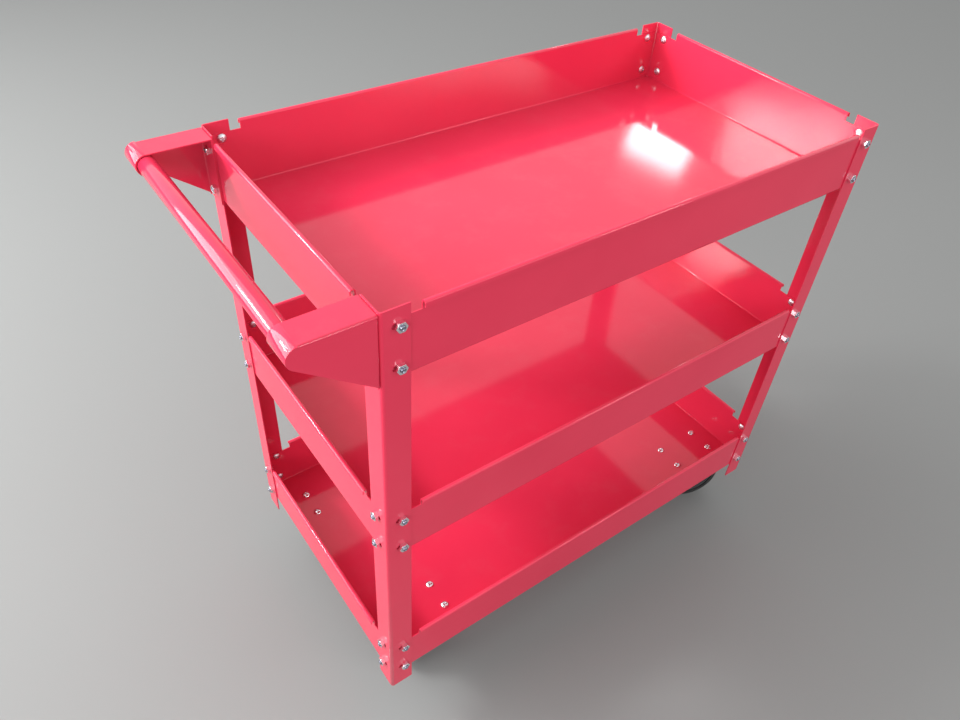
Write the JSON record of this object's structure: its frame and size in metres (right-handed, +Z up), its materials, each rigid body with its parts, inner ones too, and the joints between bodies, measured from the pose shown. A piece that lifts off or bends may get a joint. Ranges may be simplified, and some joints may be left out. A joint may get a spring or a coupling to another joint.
{
  "type": "rolling utility cart",
  "caption": "Rolling utility cart: open sheet-steel trays bolted between angle posts, a tube push handle on gusset brackets, and swivel and rigid casters below.",
  "frame": {"origin": "bottom centre of the bounding box, on the floor the wheels stand on", "axes": "+X towards the end away from the handle, +Y to the left of a person pushing, +Z up"},
  "size_m": [0.8404, 0.42, 0.781],
  "materials": {
    "red_enamel": "gloss",
    "zinc": "bright zinc plate",
    "tyre_rubber": "matte",
    "wheel_moulding": "satin"
  },
  "bodies": {
    "frame": {"post_rear_right": "red_enamel", "post_rear_left": "red_enamel", "post_front_right": "red_enamel", "post_front_left": "red_enamel", "tray_top": "red_enamel", "tray_middle": "red_enamel", "tray_bottom": "red_enamel", "bolts_top": "zinc", "bolts_middle": "zinc", "bolts_bottom": "zinc", "nuts_top": "zinc", "nuts_middle": "zinc", "nuts_bottom": "zinc", "bracket_right": "red_enamel", "bracket_left": "red_enamel", "handle_tube": "red_enamel", "caster_bolts": "zinc", "caster_nuts": "zinc", "swivel_plate_right": "zinc", "swivel_plate_left": "zinc", "kingpin_right": "zinc", "kingpin_left": "zinc", "race_balls_right": "zinc", "race_balls_left": "zinc", "rigid_plate_right": "zinc", "rigid_plate_left": "zinc", "rigid_fork_right": "zinc", "rigid_fork_left": "zinc", "sleeve_rear_right": "zinc", "sleeve_rear_left": "zinc", "axle_rear_right": "zinc", "axle_rear_left": "zinc", "axle_nut_rear_right": "zinc", "axle_nut_rear_left": "zinc"},
    "fork_right": {"swivel_fork_right": "zinc", "sleeve_front_right": "zinc", "axle_front_right": "zinc", "axle_nut_front_right": "zinc"},
    "fork_left": {"swivel_fork_left": "zinc", "sleeve_front_left": "zinc", "axle_front_left": "zinc", "axle_nut_front_left": "zinc"},
    "wheel_front_right": {"core_front_right": "wheel_moulding", "tyre_front_right": "tyre_rubber"},
    "wheel_front_left": {"core_front_left": "wheel_moulding", "tyre_front_left": "tyre_rubber"},
    "wheel_rear_right": {"core_rear_right": "wheel_moulding", "tyre_rear_right": "tyre_rubber"},
    "wheel_rear_left": {"core_rear_left": "wheel_moulding", "tyre_rear_left": "tyre_rubber"}
  },
  "joints": [
    {"name": "swivel_right", "type": "hinge", "parent": "frame", "child": "fork_right", "pos_m": [0.33825, -0.1295, 0.116], "axis": [0, 0, 1], "continuous": true},
    {"name": "roll_front_right", "type": "hinge", "parent": "fork_right", "child": "wheel_front_right", "pos_m": [0.36644, -0.13976, 0.0508], "axis": [0.342, 0.9397, 0], "continuous": true},
    {"name": "swivel_left", "type": "hinge", "parent": "frame", "child": "fork_left", "pos_m": [0.33825, 0.1295, 0.116], "axis": [0, 0, 1], "continuous": true},
    {"name": "roll_front_left", "type": "hinge", "parent": "fork_left", "child": "wheel_front_left", "pos_m": [0.36825, 0.1295, 0.0508], "axis": [0, 1, 0], "continuous": true},
    {"name": "roll_rear_right", "type": "hinge", "parent": "frame", "child": "wheel_rear_right", "pos_m": [-0.24775, -0.1295, 0.0508], "axis": [0, 1, 0], "continuous": true},
    {"name": "roll_rear_left", "type": "hinge", "parent": "frame", "child": "wheel_rear_left", "pos_m": [-0.24775, 0.1295, 0.0508], "axis": [0, 1, 0], "continuous": true}
  ]
}
